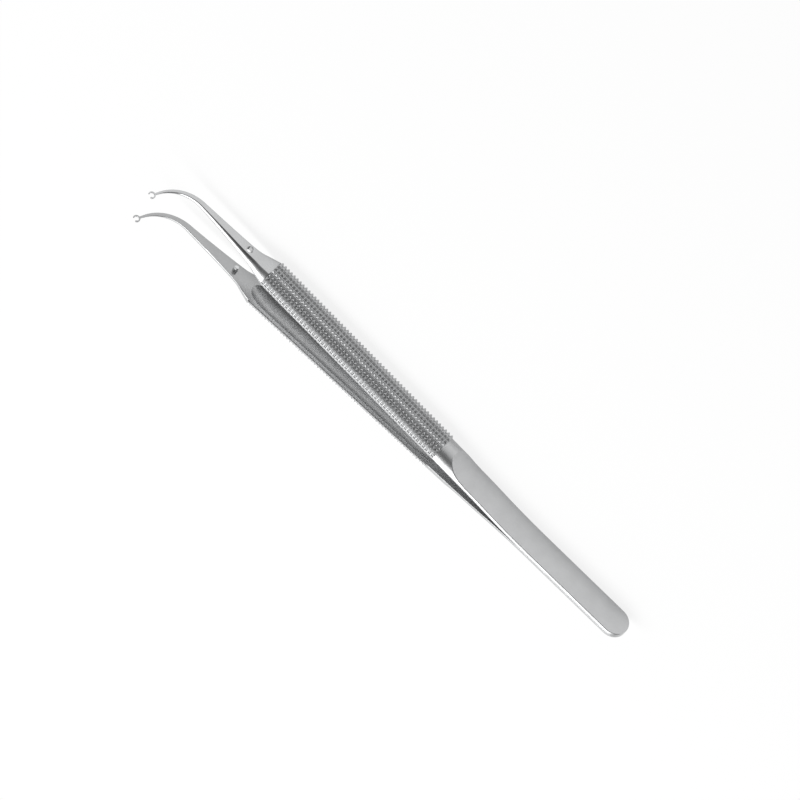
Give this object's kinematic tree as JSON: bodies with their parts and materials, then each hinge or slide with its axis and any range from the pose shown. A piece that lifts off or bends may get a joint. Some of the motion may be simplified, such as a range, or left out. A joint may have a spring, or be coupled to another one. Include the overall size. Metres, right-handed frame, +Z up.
{
  "type": "micro suture forceps",
  "caption": "Spring forceps with half-round knurled handles, a guide pin and slender curved jaws ending in small open rings, for holding and tying fine suture.",
  "frame": {"origin": "centre of the outline on the table that the forceps lies on", "axes": "+X from the welded rear end to the ring tips, +Z up, and the arms open along Y, with the pin arm on the +Y side"},
  "size_m": [0.1794, 0.0202, 0.0152],
  "materials": {
    "arm_steel": "fine satin stainless steel",
    "pin_steel": "polished stainless steel"
  },
  "bodies": {
    "pin_side": {"pin_arm": "arm_steel", "guide_pin": "pin_steel"},
    "hole_side": {"hole_arm": "arm_steel"}
  },
  "joints": [
    {"name": "arm_squeeze", "type": "hinge", "parent": "pin_side", "child": "hole_side", "pos_m": [-0.04769, 0, 0.00455], "axis": [0, 0, 1], "range_deg": [0, 5.7], "stiffness_Nm_per_rad": 0.7}
  ]
}
